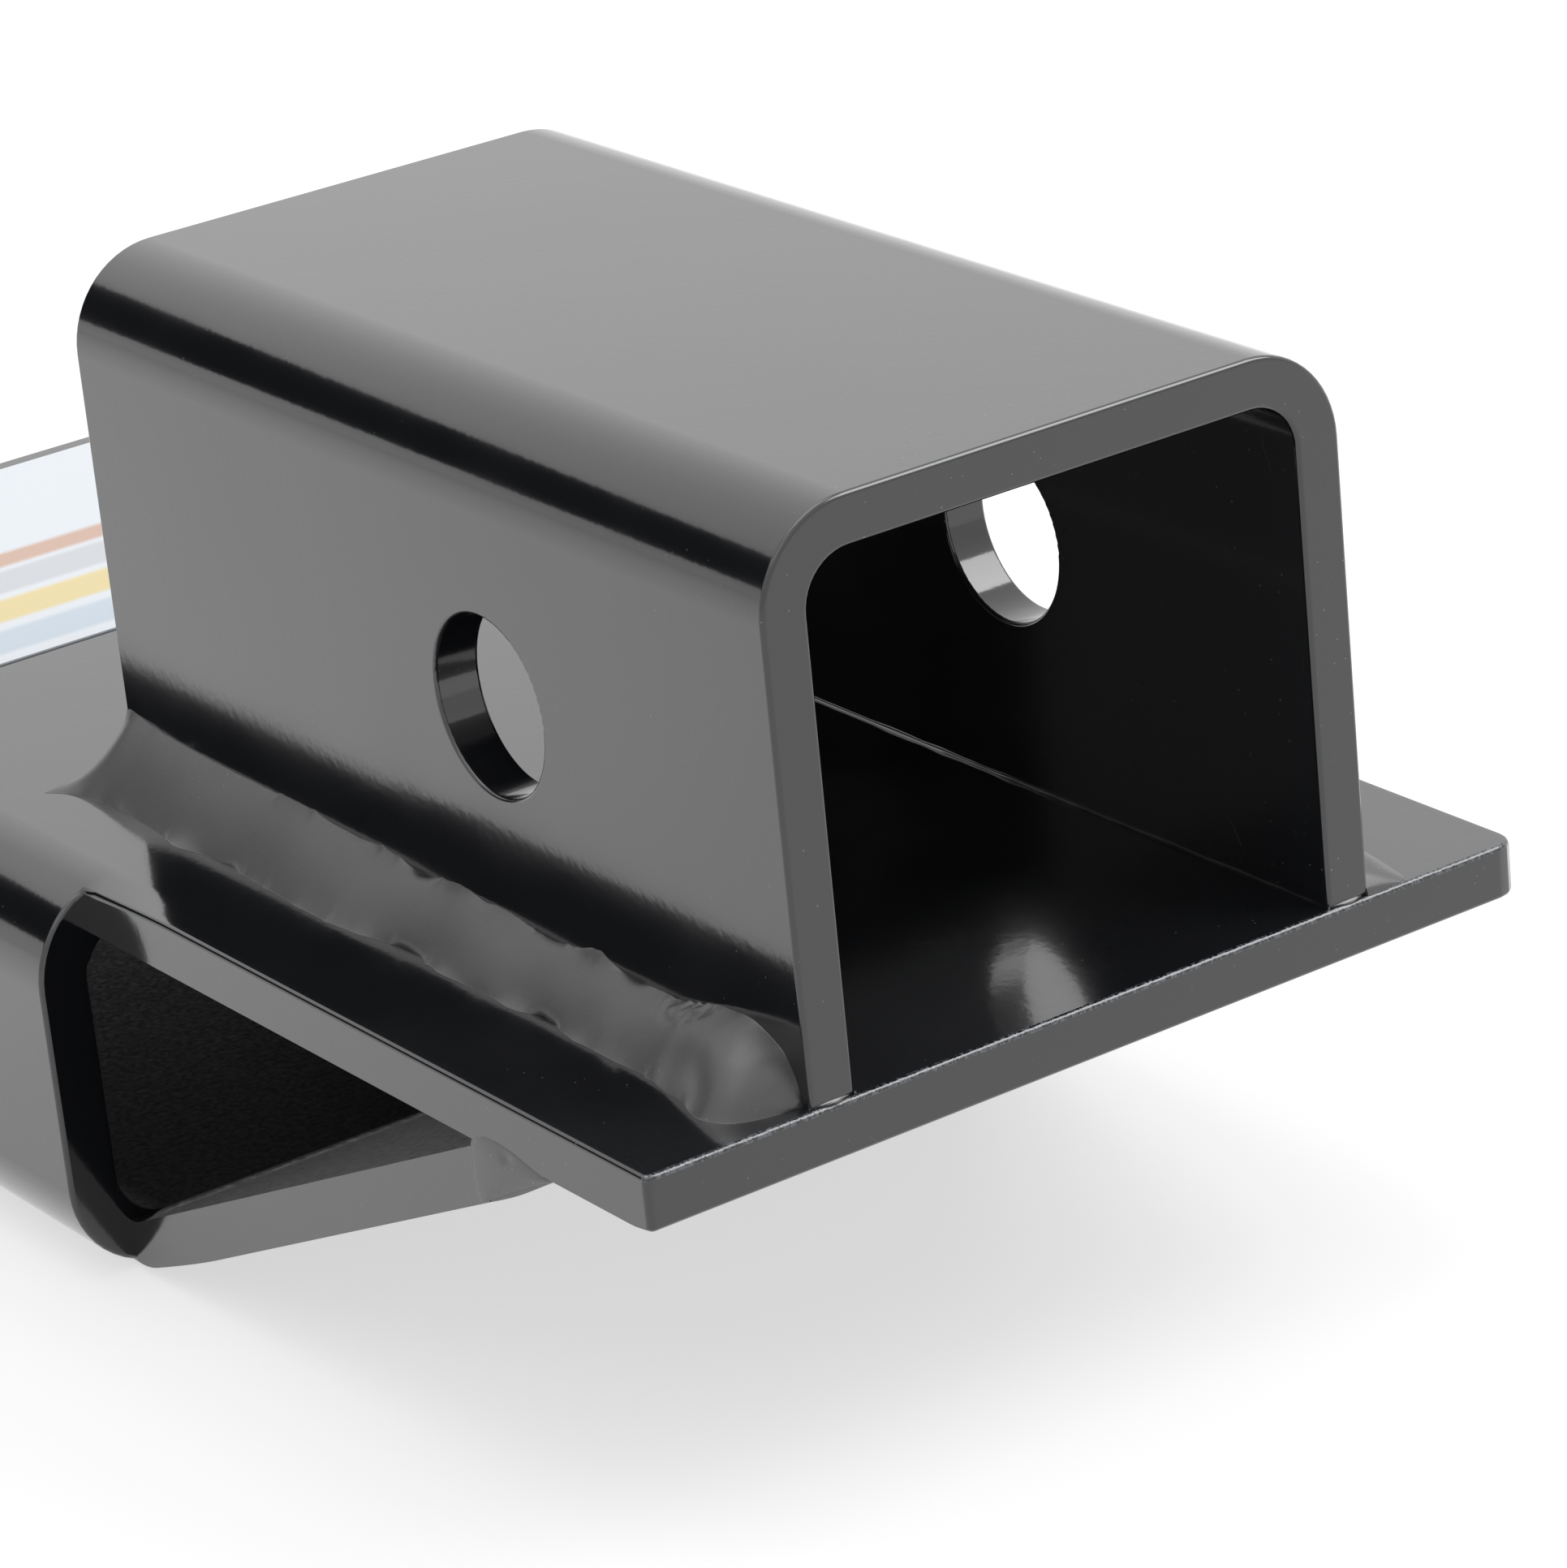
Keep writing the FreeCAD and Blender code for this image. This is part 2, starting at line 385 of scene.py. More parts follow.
def makeWeldCoat():
    settings = weldCoat
    material, tree = newMaterial("powder_coated_weld_metal")
    place = addNode(tree, "ShaderNodeTexCoord").outputs["Object"]
    lump = addNode(tree, "ShaderNodeTexNoise", {"Vector": place, "Scale": patternScale(settings["lumpMm"]),
            "Detail": 3.0})
    grain = addNode(tree, "ShaderNodeTexNoise", {"Vector": place, "Scale": patternScale(settings["grainMm"]),
            "Detail": 2.0})
    low = addNode(tree, "ShaderNodeBump", {"Height": lump.outputs[0], "Strength": 1.0,
            "Distance": settings["lumpHeight"] * mm})
    bump = addNode(tree, "ShaderNodeBump", {"Height": grain.outputs[0], "Strength": 1.0,
            "Distance": settings["grainHeight"] * mm,
            "Normal": low.outputs[0]})
    along = addNode(tree, "ShaderNodeSeparateXYZ", {0: place}).outputs[1]
    rough = addNode(tree, "ShaderNodeMapRange", {"Value": along, "From Min": receiverLow.y,
            "From Max": receiverLow.y + settings["blobLengthMm"] * mm,
            "To Min": settings["blobRoughness"],
            "To Max": settings["roughness"]})
    colour = addDust(tree, place, linear(settings["colour"]), settings)
    shader = addNode(tree, "ShaderNodeBsdfPrincipled", {
        "Base Color": colour, "Roughness": rough.outputs[0], "IOR": 1.5, "Coat Weight": 1.0,
        "Coat Roughness": settings["coatRoughness"], "Coat IOR": 1.5, "Normal": bump.outputs[0],
        "Coat Normal": bump.outputs[0]})
    addNode(tree, "ShaderNodeOutputMaterial", {"Surface": shader.outputs[0]})
    return material


# Thin dry powder coat inside the folded box, where the spray hardly reaches: dull, and very dark partly as
# painted shade for the pocket and the tongue's underside
innerShadeCoat = {
    "name": "thin_dull_inner_coat",
    "colour": "#0b0b0c",
    "roughness": (0.52, 0.74),
    "IOR": 1.3,
    "grainMm": 0.7,
    "grainHeight": 0.003,
}

# The ramp's top lies open to the spray, so more coat settled there: satin
rampCoat = {
    "name": "satin_ramp_coat",
    "colour": "#111112",
    "roughness": (0.32, 0.54),
    "IOR": 1.5,
    "grainMm": 0.9,
    "grainHeight": 0.002,
}


def makeInnerCoat(settings):
    material, tree = newMaterial(settings["name"])
    place = addNode(tree, "ShaderNodeTexCoord").outputs["Object"]
    grain = addNode(tree, "ShaderNodeTexNoise", {"Vector": place, "Scale": patternScale(settings["grainMm"]),
            "Detail": 3.0})
    bump = addNode(tree, "ShaderNodeBump", {"Height": grain.outputs[0], "Strength": 1.0,
            "Distance": settings["grainHeight"] * mm})
    low, high = settings["roughness"]
    rough = addNode(tree, "ShaderNodeMapRange", {"Value": grain.outputs[0], "From Min": noiseLow,
            "From Max": noiseHigh, "To Min": low, "To Max": high})
    shader = addNode(tree, "ShaderNodeBsdfPrincipled", {
        "Base Color": linear(settings["colour"]), "Roughness": rough.outputs[0], "IOR": settings["IOR"],
        "Normal": bump.outputs[0]})
    addNode(tree, "ShaderNodeOutputMaterial", {"Surface": shader.outputs[0]})
    return material


# Printed vinyl film: a pale ground with plain fields of colour, faintly glossy
labelFilm = {
    "ground": "#eff4fa",
    "bands": [    # start and end in mm behind the label's front edge, and the colour
        (3.0, 8.5, "#d3e0ec"),
        (12.1, 17.5, "#f3e0a6"),
        (20.5, 26.0, "#d9dde3"),
        (28.5, 31.5, "#dcb9a6"),
    ],
    "edgeMm": 1.2,           # a field fades out over this length
    "fleckMm": 1.111,
    "fleckHeight": 0.004,
    "roughness": 0.32,
}


def makeLabelFilm():
    settings = labelFilm
    material, tree = newMaterial("printed_vinyl_film")
    place = addNode(tree, "ShaderNodeTexCoord").outputs["Object"]
    along = addNode(tree, "ShaderNodeSeparateXYZ", {0: place}).outputs[1]
    colour, soft = linear(settings["ground"]), settings["edgeMm"] * mm
    for start, end, shade in settings["bands"]:
        lowY, highY = labelLow.y + start * mm, labelLow.y + end * mm
        rise = addNode(tree, "ShaderNodeMapRange", {"Value": along, "From Min": lowY - soft, "From Max": lowY})
        fall = addNode(tree, "ShaderNodeMapRange", {"Value": along, "From Min": highY,
                "From Max": highY + soft, "To Min": 1.0, "To Max": 0.0})
        inside = addNode(tree, "ShaderNodeMath", {0: rise.outputs[0], 1: fall.outputs[0]},
                         operation="MULTIPLY")
        colour = addNode(tree, "ShaderNodeMix", {0: inside.outputs[0], 6: colour, 7: linear(shade)},
                         data_type="RGBA").outputs[2]
    fleck = addNode(tree, "ShaderNodeTexNoise", {"Vector": place, "Scale": patternScale(settings["fleckMm"]),
            "Detail": 2.0})
    bump = addNode(tree, "ShaderNodeBump", {"Height": fleck.outputs[0],
            "Distance": settings["fleckHeight"] * mm})
    shader = addNode(tree, "ShaderNodeBsdfPrincipled", {
        "Base Color": colour, "Roughness": settings["roughness"], "IOR": 1.46, "Normal": bump.outputs[0]})
    addNode(tree, "ShaderNodeOutputMaterial", {"Surface": shader.outputs[0]})
    return material


# Plates, taken from the fixed solids with their edges rounded as the coat rounds them
plateEdges = {
    "radius": 0.5,
    "segments": 4,
    "leftCorner": 0.7,       # the tongue's two front corners, seen from above
    "rightCorner": 2.5,
    "sharper": 40.0,         # degrees: outer edges that turn more than this are rounded
    "smoothUnder": 32.0,
    "sleevePlate": 5.5,
    "tongueHalf": 51.25,
    "boxFront": -12.0,       # mm along Y, where the folded box starts
    "bendStart": 47.0,       # mm from the middle, where the box's corner bend starts
    "bendRadius": 10.5,
    "runOut": 17.0,          # the corner bend fades into tongue and ramp over this length
    "runOutCuts": 8,
    "runOutPower": 1.5,
    "bendDepth": 1.0,        # mm of the bend that the tongue's width cuts
    "cleanMerge": 0.002,     # mm: doubles of the solid's loose triangles
    "cutNear": 0.005,        # a cut goes through points nearer than this
    "cutMerge": 0.02,
}


def finishPiece(piece, replacedNode):
    bpy.context.scene.collection.objects.link(piece)
    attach(piece, "root")
    if replacedNode:
        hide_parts(replacedNode)
    print("piece", piece.name, len(piece.data.polygons), "faces")


def meshFrom(shape, name, materials, smoothUnder):
    mesh = bpy.data.meshes.new(name)
    shape.to_mesh(mesh)
    shape.free()
    mesh.polygons.foreach_set("use_smooth", [True] * len(mesh.polygons))
    mesh.set_sharp_from_angle(angle=math.radians(smoothUnder))
    for material in materials:
        mesh.materials.append(material)
    return mesh


def cleanCopy(nodeName):
    shape = bmesh.new()
    shape.from_mesh(nodes[nodeName].data)
    bmesh.ops.remove_doubles(shape, verts=shape.verts, dist=plateEdges["cleanMerge"] * mm)
    bmesh.ops.dissolve_limit(shape, angle_limit=math.radians(0.5), verts=shape.verts, edges=shape.edges)
    return shape


def roundEdges(shape, edges, radius):
    # no clamp: one short edge would shrink the rounding of all the others
    made = bmesh.ops.bevel(shape, geom=edges, offset=radius * mm, offset_type="OFFSET", affect="EDGES",
                           segments=plateEdges["segments"], profile=0.5, clamp_overlap=False)
    return made["faces"]


def outerEdges(shape):
    # edges that stick out; an inner corner turns the other way and stays as it is
    return [edge for edge in shape.edges if len(edge.link_faces) == 2
            and edge.calc_face_angle_signed(0) > math.radians(plateEdges["sharper"])]


def roundedPiece(shape, pieceName, materials, edges):
    layer = shape.loops.layers.float_color.new("edge")
    for face in shape.faces:
        for loop in face.loops:
            loop[layer] = (0, 0, 0, 1)
    for face in roundEdges(shape, edges, plateEdges["radius"]):
        middle = face.calc_center_median()
        # only the tongue's sheared front edge gets the uneven coat and a painted highlight
        if middle.y < sleeveLow.y + 1 * mm and deckZ - 1 * mm < middle.z < deckZ:
            for loop in face.loops:
                loop[layer] = (1, 1, 1, 1)
    mesh = meshFrom(shape, pieceName, materials, plateEdges["smoothUnder"])
    piece = bpy.data.objects.new(pieceName, mesh)
    weighted = piece.modifiers.new("even_faces", "WEIGHTED_NORMAL")
    weighted.keep_sharp = True
    return piece


def makeReceiver(material):
    # only the two rims are rounded here, since the pin holes already have rounded edges
    shape = cleanCopy("receiver_channel")
    rims = [edge for edge in outerEdges(shape)
            if any(all(abs(vert.co.y - rim) < hair for vert in edge.verts)
                   for rim in (receiverLow.y, receiverHigh.y))]
    finishPiece(roundedPiece(shape, "receiver", [material], rims), "receiver_channel")


def cutAhead(shape, front, place, normal):
    # a cut through the tongue and the ramp only
    ahead = [face for face in shape.faces if face.calc_center_median().y < front - hair]
    near = list({item for face in ahead for item in (*face.verts, *face.edges)}) + ahead
    bmesh.ops.bisect_plane(shape, geom=near, plane_co=place, plane_no=normal,
                           dist=plateEdges["cutNear"] * mm)


def fadeCornerBends(shape):
    # the box's corner bend runs out into the tongue and the ramp instead of ending in a step
    settings = plateEdges
    front, start = settings["boxFront"] * mm, settings["bendStart"] * mm
    length, radius = settings["runOut"] * mm, settings["bendRadius"] * mm
    sideX, depth = settings["tongueHalf"] * mm, settings["bendDepth"] * mm
    near = settings["cutNear"] * mm
    middleZ = (sleeveLow.z + sleeveHigh.z) / 2

    def onFront(vert):
        return abs(vert.co.y - front) < hair

    bmesh.ops.bisect_plane(shape, geom=[*shape.verts, *shape.edges, *shape.faces],
                           plane_co=(0, front, 0), plane_no=(0, 1, 0), dist=near)
    # the cuts along the tongue go through the bend's own points, so that both surfaces meet there
    bendPoints = sorted({round(abs(vert.co.x) / mm, 3) for vert in shape.verts
                         if onFront(vert) and sleeveHigh.z - depth < vert.co.z
                         and start - hair < abs(vert.co.x) < sideX - slack})
    steps = [face for face in shape.faces
             if all(onFront(vert) and abs(vert.co.x) < sideX + hair
                    and min(vert.co.z - sleeveLow.z, sleeveHigh.z - vert.co.z) < depth
                    for vert in face.verts)]
    bmesh.ops.delete(shape, geom=steps, context="FACES_ONLY")
    for x in bendPoints:
        for side in (-1, 1):
            cutAhead(shape, front, (side * x * mm, 0, 0), (1, 0, 0))
    for k in range(settings["runOutCuts"]):
        cutAhead(shape, front, (0, front - length * (k + 1) / settings["runOutCuts"], 0), (0, 1, 0))
    for vert in shape.verts:
        ahead = (front - vert.co.y) / length
        beyond = abs(vert.co.x) - start
        if not -0.001 < ahead < 1 or not 0 < beyond < sideX - start + slack:
            continue
        fade = (1 - max(ahead, 0)) ** settings["runOutPower"]
        curl = (radius - math.sqrt(radius ** 2 - beyond ** 2)) * fade
        facesDown = any(face.normal.z < -0.5 for face in vert.link_faces)
        if vert.co.z > sleeveHigh.z - slack:
            vert.co.z -= curl
        elif vert.co.z < middleZ and facesDown and (not onFront(vert) or vert.co.z < slack):
            vert.co.z += curl
    bmesh.ops.remove_doubles(shape, verts=shape.verts, dist=settings["cutMerge"] * mm)
    bmesh.ops.dissolve_degenerate(shape, edges=shape.edges, dist=near)
    shape.normal_update()
    print("corner bends run out, cut at", bendPoints, "steps taken out", len(steps))


def roundTongueCorners(shape):
    front = sleeveLow.y + slack
    for side, radius in ((-1, plateEdges["leftCorner"]), (1, plateEdges["rightCorner"])):
        upright = [edge for edge in shape.edges if all(vert.co.y < front and vert.co.x * side > 0
                for vert in edge.verts)
                   and abs(edge.verts[0].co.z - edge.verts[1].co.z) > 4 * mm]
        roundEdges(shape, upright, radius)


def sleeveEdges(shape):
    # the tongue's top and front, and the box's two rims. The ramp's own edges meet at a sharp tip and stay
    front, back = sleeveLow.y, sleeveHigh.y
    boxFront, side = plateEdges["boxFront"] * mm, plateEdges["tongueHalf"] * mm
    chosen = []
    for edge in outerEdges(shape):
        ends = [vert.co for vert in edge.verts]
        nose = all(end.y < front + 3 * mm for end in ends)
        topSide = all(end.z > sleeveHigh.z - 1.5 * mm and end.y < boxFront + hair for end in ends)
        frontRim = all(abs(end.y - boxFront) < hair and abs(end.x) > side - hair for end in ends)
        backRim = all(abs(end.y - back) < hair for end in ends)
        if nose or topSide or frontRim or backRim:
            chosen.append(edge)
    return chosen


def dullAndShadeInside(sleeve):
    # the faces that look into the pocket take the dull inner coat, darkened as painted shade, and the ramp's
    # top its satin one
    innerShadeSlot, rampSlot = 1, 2
    plate = plateEdges["sleevePlate"] * mm
    halfPocket = sleeveHigh.x - plate
    count = 0
    for face in sleeve.data.polygons:
        middle, out = face.center, face.normal
        between = plate - slack < middle.z < sleeveHigh.z - plate + slack
        if not between or abs(middle.x) > halfPocket + slack or abs(out.y) > 0.9:
            continue
        inBox = middle.y > plateEdges["boxFront"] * mm
        underTongue = out.z < -0.5 and middle.z > sleeveHigh.z - plate - slack
        if out.z > 0.5 and not inBox:
            face.material_index = rampSlot
            count += 1
        elif inBox or underTongue:
            face.material_index = innerShadeSlot
            count += 1
    print("inner coat on", count, "faces")


def makeSleeve(materials):
    shape = cleanCopy("fork_sleeve")
    roundTongueCorners(shape)
    fadeCornerBends(shape)
    sleeve = roundedPiece(shape, "sleeve", materials, sleeveEdges(shape))
    dullAndShadeInside(sleeve)
    finishPiece(sleeve, "fork_sleeve")


# Fillet beads along the receiver. Distances run back from the mouth, all in mm
sideBead = {
    "reach": [(1.3, 0.3), (1.6, 2.6), (2.2, 4.9), (3.2, 6.6), (4.4, 7.5), (6.0, 8.0), (8.1, 7.7),
              (10.6, 6.9), (13.8, 6.7), (17.4, 5.9), (21.2, 6.1), (25.7, 6.1), (30.7, 6.0), (33.7, 5.2),
              (36.6, 5.0), (39.0, 6.1), (45.1, 5.9), (52.1, 6.2), (55.6, 5.5), (59.4, 5.1), (63.6, 5.9),
              (67.1, 6.7), (74.9, 7.0), (80.9, 6.7), (87.9, 6.3), (90.9, 5.9), (96.8, 6.6), (99.9, 7.2),
              (103.6, 6.3), (107.6, 6.3), (113.8, 6.0), (117.9, 6.6), (120.5, 7.2), (122.2, 8.2),
              (123.2, 9.0)],
    "rise": [(1.3, 0.3), (1.6, 1.7), (2.2, 3.1), (3.2, 4.5), (4.4, 5.3), (6.0, 6.0), (8.1, 6.6),
             (13.0, 6.4), (16.1, 5.8), (19.5, 5.0), (23.6, 4.9), (27.4, 4.7), (29.5, 5.1), (33.0, 6.0),
             (36.0, 5.3), (39.1, 4.8), (43.5, 4.8), (46.6, 5.4), (49.1, 5.6), (52.1, 5.3), (55.5, 5.8),
             (60.3, 5.5), (63.4, 4.8), (68.3, 5.8), (76.5, 5.7), (85.8, 6.3), (91.7, 6.2), (97.5, 6.2),
             (104.0, 6.4), (109.8, 6.6), (115.7, 7.2), (119.5, 7.6), (120.4, 5.8), (121.2, 3.6),
             (122.2, 1.6), (123.2, 0.3)],
    "bulge": [(1.3, 0.1), (2.4, 1.0), (5.0, 1.5), (9.0, 1.4), (13.0, 1.0), (18.0, 0.6), (26.0, 0.4),
              (114.0, 0.35), (120.0, 0.2), (123.2, 0.02)],
    # small nodules on the left bead's two edges
    "toeNodules": [17.1, 37.1, 54.9, 61.7, 71.2, 83.2, 88.3, 102.1],
    "crownNodules": [32.3, 38.0, 44.2, 59.7, 67.3, 70.3, 82.9, 89.3],
    "smoothFront": 16.0,     # the blob's own edge is smooth
    "nodule": (0.22, 0.5),   # how far it stands out, and its half length
    # the right bead starts low at the tongue's front edge, with no blob
    "rightReach": [(-0.2, 0.3), (0.0, 3.6), (0.5, 4.8), (2.3, 5.4), (5.0, 5.8), (7.0, 5.6), (16.0, 5.9)],
    "rightRise": [(-0.2, 0.15), (0.0, 0.7), (1.2, 1.9), (4.0, 3.4), (8.0, 4.5), (16.0, 5.1)],
    "rightBulge": [(-0.2, 0.02), (1.0, 0.25), (4.0, 0.5), (16.0, 0.45)],
    "rightJoin": 8.0,        # then the left one's run takes over, after this distance
    "step": 0.3,
    "endStep": 0.2,          # share of that step at an end, growing over endLength
    "endLength": 3.0,
    "endFade": 2.0,          # lumps and ragged edges fade over this length at each end
    "across": 34,
    "thinnest": 0.02,        # the skin never goes nearer to the wall or the tongue
    "sunk": 0.3,             # into the steel, so that no gap shows
    "skew": 1.1,             # a little fuller towards the wall
    "edgePower": 12.0,       # how fast an edge's wandering dies out over the face
    "toeFade": 6.0,          # and how fast the lumps grow from the toe
    "steady": 6.0,           # the face keeps an even slope over this length; only its edges wander
    "steadyStart": (20.0, 0.35),    # except near the front: growing over this length, to this share
    "steadyRun": (14.0, 118.0, 8.0),    # full between the first two, with this fade
    "waves": [(9.0, 0.05), (2.6, 0.015)],
    "ragged": [(2.3, 0.16), (0.8, 0.05)],    # mm: wave length and height of the two edges
    "raggedRows": (5.0, 9.0),    # rows of the noise that toe and crown take
    "ownRow": 61.0,          # added for the right bead, which wanders in its own way
    "seed": 40.0,
    "faceMm": 7.5,           # width of the face, for the scale of what lies on it
    "foldAt": (16.5, 4.0),   # wrinkled skin: its distance and half length
    "foldShare": (0.6, 0.2),    # from this share of the face up, with this fade
    "foldHeight": 0.4,
    "foldMm": 1.5,
    "foldSharp": 2.4,
    "smoothUnder": 60,
}


def beadTable(name, side):
    # the right bead has a start of its own and follows the left one's measured run from there
    if side < 0:
        return sideBead[name]
    start = sideBead["right" + name.capitalize()]
    join = start[-1][0] + sideBead["rightJoin"]
    return start + [(at, value) for at, value in sideBead[name] if at > join]


def readTable(table, at):
    # smooth curve through the measured stations
    at = min(max(at, table[0][0]), table[-1][0])
    k = max(i for i in range(len(table) - 1) if table[i][0] <= at)

    def slope(i):
        a, b = table[max(i - 1, 0)], table[min(i + 1, len(table) - 1)]
        return (b[1] - a[1]) / (b[0] - a[0])

    (a, low), (b, high) = table[k], table[k + 1]
    span = b - a
    t = (at - a) / span
    return (low * (1 + 2 * t) * (1 - t) ** 2 + slope(k) * span * t * (1 - t) ** 2
            + high * t * t * (3 - 2 * t) + slope(k + 1) * span * t * t * (t - 1))


def beadStations(side):
    # closer together at the rounded ends
    settings = sideBead
    table = beadTable("reach", side)
    start, end = table[0][0], table[-1][0]
    places, at = [], start
    while at < end:
        places.append(at)
        nearEnd = min(at - start, end - at)
        at += settings["step"] * min(1.0, settings["endStep"] + nearEnd / settings["endLength"])
    return places + [end]


def beadHeight(at, share, side):
    # lumps and wrinkles on the bead's face
    settings = sideBead
    seed, across = settings["seed"] * side, share * settings["faceMm"]
    height = 0.0
    for size, amount in settings["waves"]:
        height += amount * noise.noise(Vector((at / size + seed, across / size, size)))
    if side > 0:
        return height
    middle, half = settings["foldAt"]
    low, fade = settings["foldShare"]
    foldMm = settings["foldMm"]
    mask = math.exp(-((at - middle) / half) ** 2) * max(0.0, min(1.0, (share - low) / fade))
    crease = abs(noise.noise(Vector((at / foldMm + seed, across / foldMm, 3.0))))
    return height + mask * settings["foldHeight"] * (0.5 - min(crease * settings["foldSharp"], 1.0))


def steadyTable(table, at):
    # the table's mean around a place; near the front end it is nearly the table itself
    growing, most = sideBead["steadyStart"]
    first, last, fade = sideBead["steadyRun"]
    share = max(min(at / growing, most), min(1.0, (at - first) / fade, (last - at) / fade))
    span = sideBead["steady"] * share
    return sum(readTable(table, at + span * step / 3) for step in range(-3, 4)) / 7


def nodules(places, at):
    height, half = sideBead["nodule"]
    return sum(height * math.exp(-((at - place) / half) ** 2) for place in places)


def beadRing(at, side):
    # one closed section: from the toe on the tongue up to the crown on the wall, then back inside the steel
    settings = sideBead
    own = 0.0 if side < 0 else settings["ownRow"]
    reachTable, riseTable = beadTable("reach", side), beadTable("rise", side)
    reach, steadyReach = max(0.2, readTable(reachTable, at)), max(0.2, steadyTable(reachTable, at))
    rise, steadyRise = max(0.1, readTable(riseTable, at)), max(0.1, steadyTable(riseTable, at))
    bulge = readTable(beadTable("bulge", side), at)
    length = math.hypot(steadyReach, steadyRise)
    outX, outZ = steadyRise / length, steadyReach / length
    fromEnds = min(at - reachTable[0][0], reachTable[-1][0] - at)
    ends = max(0.0, min(1.0, fromEnds / settings["endFade"]))
    toe, crown = reach - steadyReach, rise - steadyRise
    ends *= min(1.0, at / settings["smoothFront"]) if side < 0 else 1.0
    toeRow, crownRow = settings["raggedRows"]
    for size, amount in settings["ragged"]:
        toe += noise.noise(Vector((at / size, toeRow + own, side * size))) * amount * ends
        crown += noise.noise(Vector((at / size, crownRow + own, side * size))) * amount * ends
    if side < 0:
        toe += nodules(settings["toeNodules"], at)
        crown += nodules(settings["crownNodules"], at)
    ring = []
    power, last, least = settings["edgePower"], settings["across"] - 1, settings["thinnest"]
    for step in range(settings["across"]):
        share = 0.5 - 0.5 * math.cos(math.pi * step / last)    # closer at the two edges
        full = share ** settings["skew"]
        lumps = beadHeight(at, share, side) * ends * min(1.0, settings["toeFade"] * share)
        lift = bulge * 4 * full * (1 - full) + lumps
        x = steadyReach * (1 - share) + outX * lift + toe * (1 - share) ** power
        z = steadyRise * share + outZ * lift + crown * share ** power
        ring.append((max(x, least), max(z, least)))
    sunk = settings["sunk"]
    ring += [(-sunk, rise), (-sunk, rise * 0.5), (-sunk, -sunk), (reach * 0.5, -sunk), (reach, -sunk)]
    return ring


def closedStrip(rings):
    # a closed skin through rings of points, with a face over each end
    shape = bmesh.new()
    rows = [[shape.verts.new(point) for point in ring] for ring in rings]
    for first, second in zip(rows, rows[1:]):
        for k in range(len(first)):
            n = (k + 1) % len(first)
            shape.faces.new((first[k], first[n], second[n], second[k]))
    for row in (rows[0], rows[-1]):
        shape.faces.new(row)
    bmesh.ops.recalc_face_normals(shape, faces=shape.faces)
    return shape


def weldBead(side, nodeName, pieceName, material):
    rings = [[(side * (receiverHigh.x + x * mm), receiverLow.y + at * mm, deckZ + z * mm)
              for x, z in beadRing(at, side)] for at in beadStations(side)]
    mesh = meshFrom(closedStrip(rings), pieceName, [material], sideBead["smoothUnder"])
    finishPiece(bpy.data.objects.new(pieceName, mesh), nodeName)


# Bead across the nose. It carries the ramp's underside on to the underside of the tongue
noseBead = {
    "endY": -84.35,          # mm, the ramp's end
    "reach": 11.4,
    "drop": 5.85,
    "bulge": 0.25,
    "halfWidth": 51.2,
    "step": 1.0,
    "across": 24,
    "sway": (6.0, 0.4),      # mm: wave length and height of its front edge
    "swayFade": 4.0,
    "lumps": (3.0, 2.2, 0.1),    # their length in mm, how many lie over the face, and their height
    "outward": (0.45, 0.89),     # the bulge goes forward and down by these shares
    "sunk": (0.5, 0.2),      # into the steel, at the back and at the top, so that no gap shows
    "sunkToe": 0.4,
    "sunkLow": 0.1,
    # its end at each side is flush with the plates and runs over their joint, as (y, z) in mm
    "endOutline": [(-82.2, 37.2), (-83.8, 38.4), (-86.5, 38.7), (-89.5, 38.5), (-92.0, 38.0),
                   (-94.2, 37.6), (-95.6, 37.4), (-93.5, 36.4), (-90.5, 34.9), (-87.5, 33.4),
                   (-84.6, 31.9), (-82.6, 31.0), (-81.8, 32.4), (-81.9, 35.0)],
    "endLevels": [(1.0, -0.35), (1.0, -0.06), (0.94, 0.02), (0.84, 0.09), (0.7, 0.15), (0.55, 0.19),
                  (0.4, 0.22), (0.25, 0.24), (0.1, 0.25)],    # share of the outline, mm proud of the side
    "endPoints": 72,
    "dimple": (-88.4, 37.4),     # on the left end, as (y, z) in mm
    "dimpleHalf": (0.9, 0.405),
    "dimpleDepth": 0.22,
    "smoothUnder": 60,
}


def smoothLoop(points, count):
    # evenly spaced points on a smooth closed curve through the given ones
    total, loop = len(points), []
    for k in range(count):
        at = k * total / count
        i, t = int(at), at % 1
        p = [points[(i + n) % total] for n in (-1, 0, 1, 2)]
        loop.append(tuple(0.5 * (2 * p[1][a] + (p[2][a] - p[0][a]) * t
                + (2 * p[0][a] - 5 * p[1][a] + 4 * p[2][a] - p[3][a]) * t ** 2
                + (3 * p[1][a] - p[0][a] - 3 * p[2][a] + p[3][a]) * t ** 3) for a in (0, 1)))
    return loop


